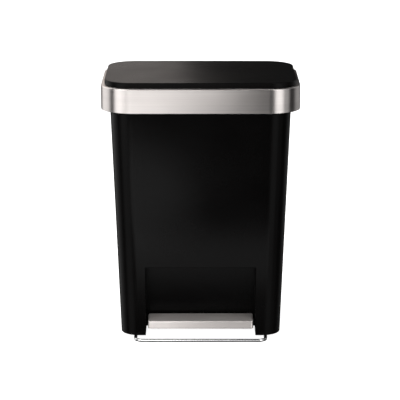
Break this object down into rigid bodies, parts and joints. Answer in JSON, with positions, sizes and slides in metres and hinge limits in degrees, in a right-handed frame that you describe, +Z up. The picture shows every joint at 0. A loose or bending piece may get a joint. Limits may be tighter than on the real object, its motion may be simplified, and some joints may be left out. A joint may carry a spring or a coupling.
{
  "type": "pedal trash can",
  "caption": "Tapered rectangular household waste bin with a steel collar, a hinged lid opened by a foot pedal and linkage, and a wire foot.",
  "frame": {"origin": "on the floor at the centre of the closed bin's bounding box", "axes": "+Z up, front faces -Y, +X to the right seen from the front"},
  "size_m": [0.41, 0.316, 0.55],
  "materials": {
    "black_plastic": "satin, fine moulded grain",
    "lid_plastic": "satin, fine moulded grain",
    "grey_plastic": "matte",
    "nylon": "matte",
    "rubber": "matte",
    "collar_steel": "brushed along the band",
    "pedal_steel": "brushed across the pedal",
    "wire_chrome": "polished",
    "plain_steel": "zinc plated",
    "screw_steel": "zinc plated"
  },
  "bodies": {
    "bin": {"body_shell": "black_plastic", "collar_band": "collar_steel", "collar_frame": "black_plastic", "bag_ring": "grey_plastic", "hinge_housing": "black_plastic", "hinge_pin": "plain_steel", "rear_channel_cover": "black_plastic", "upper_rod_guide": "grey_plastic", "lower_rod_guide": "grey_plastic", "axle_bracket_left": "plain_steel", "axle_bracket_right": "plain_steel", "pedal_axle": "plain_steel", "axle_clips": "plain_steel", "lever_bumpers": "rubber", "wire_foot": "wire_chrome", "wire_clips": "grey_plastic", "wire_clip_screws": "screw_steel", "bracket_screws": "screw_steel", "collar_screws": "screw_steel", "hinge_screws": "screw_steel", "channel_screws": "screw_steel", "rear_feet": "rubber"},
    "lid": {"lid_shell": "lid_plastic", "lid_inner_panel": "grey_plastic", "lid_bumpers": "rubber", "lid_arm_left": "plain_steel", "lid_arm_right": "plain_steel", "lid_crank": "plain_steel", "crank_pin": "plain_steel", "lid_screws": "screw_steel"},
    "rod": {"push_rod": "plain_steel", "rod_pad": "nylon", "rod_foot": "nylon"},
    "pedal": {"pedal_plate": "pedal_steel", "pedal_core": "black_plastic", "lever_arm_left": "plain_steel", "lever_arm_right": "plain_steel", "lever_cross_bar": "plain_steel", "pedal_pins": "screw_steel"}
  },
  "joints": [
    {"name": "lid_hinge", "type": "hinge", "parent": "bin", "child": "lid", "pos_m": [0, 0.148, 0.541], "axis": [-1, 0, 0], "range_deg": [0, 80]},
    {"name": "pedal_pivot", "type": "hinge", "parent": "bin", "child": "pedal", "pos_m": [0, -0.03, 0.024], "axis": [1, 0, 0], "range_deg": [0, 9.2]},
    {"name": "rod_slide", "type": "slide", "parent": "bin", "child": "rod", "axis": [0, 0, 1], "range_m": [0, 0.0258]}
  ],
  "couplings": [
    {"joint": "pedal_pivot", "follows": "lid_hinge", "ratio": 0.1146},
    {"joint": "rod_slide", "follows": "lid_hinge", "m_per_rad": 0.018415}
  ]
}
